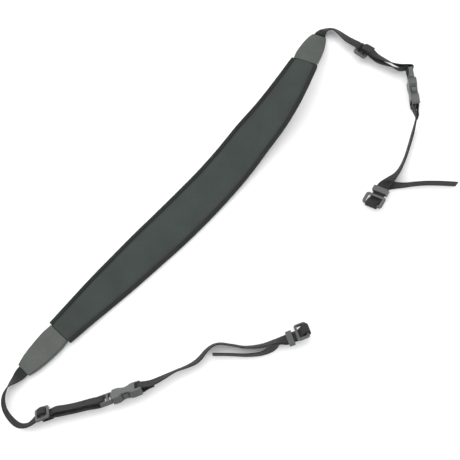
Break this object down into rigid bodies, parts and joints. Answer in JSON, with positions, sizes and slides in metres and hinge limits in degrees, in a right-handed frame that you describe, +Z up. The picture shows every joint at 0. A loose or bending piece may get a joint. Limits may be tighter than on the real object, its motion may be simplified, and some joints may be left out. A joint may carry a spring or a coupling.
{
  "type": "camera neck strap",
  "caption": "Camera neck strap lying in a loose curve: padded shoulder section, end tabs, narrow webbing, release buckles, sliders and end loops.",
  "frame": {"origin": "centre of the bounding box, on the surface that the strap lies on", "axes": "+X to the right along the longest extent, +Y away from the viewer, +Z up, off the surface"},
  "size_m": [0.4446, 0.4103, 0.0355],
  "materials": {
    "neoprene": "matt knitted face on foamed rubber",
    "binding_tape": "matt black folded tape",
    "tab_leather": "dark grey, faint grain, soft sheen",
    "webbing": "black ribbed weave",
    "moulded_plastic": "dark grey, satin"
  },
  "bodies": {
    "root": {"neoprene_pad": "neoprene", "edge_binding_outer": "binding_tape", "edge_binding_inner": "binding_tape", "end_tab_lower": "tab_leather", "end_tab_upper": "tab_leather", "pad_webbing_lower": "webbing", "pad_webbing_upper": "webbing", "camera_webbing_lower": "webbing", "camera_webbing_upper": "webbing", "pad_slider_lower": "moulded_plastic", "pad_slider_upper": "moulded_plastic", "buckle_prong_lower": "moulded_plastic", "buckle_prong_upper": "moulded_plastic", "buckle_socket_lower": "moulded_plastic", "buckle_socket_upper": "moulded_plastic", "webbing_keeper_lower": "moulded_plastic", "webbing_keeper_upper": "moulded_plastic", "end_loop_lower": "moulded_plastic", "end_loop_upper": "moulded_plastic"}
  },
  "joints": []
}
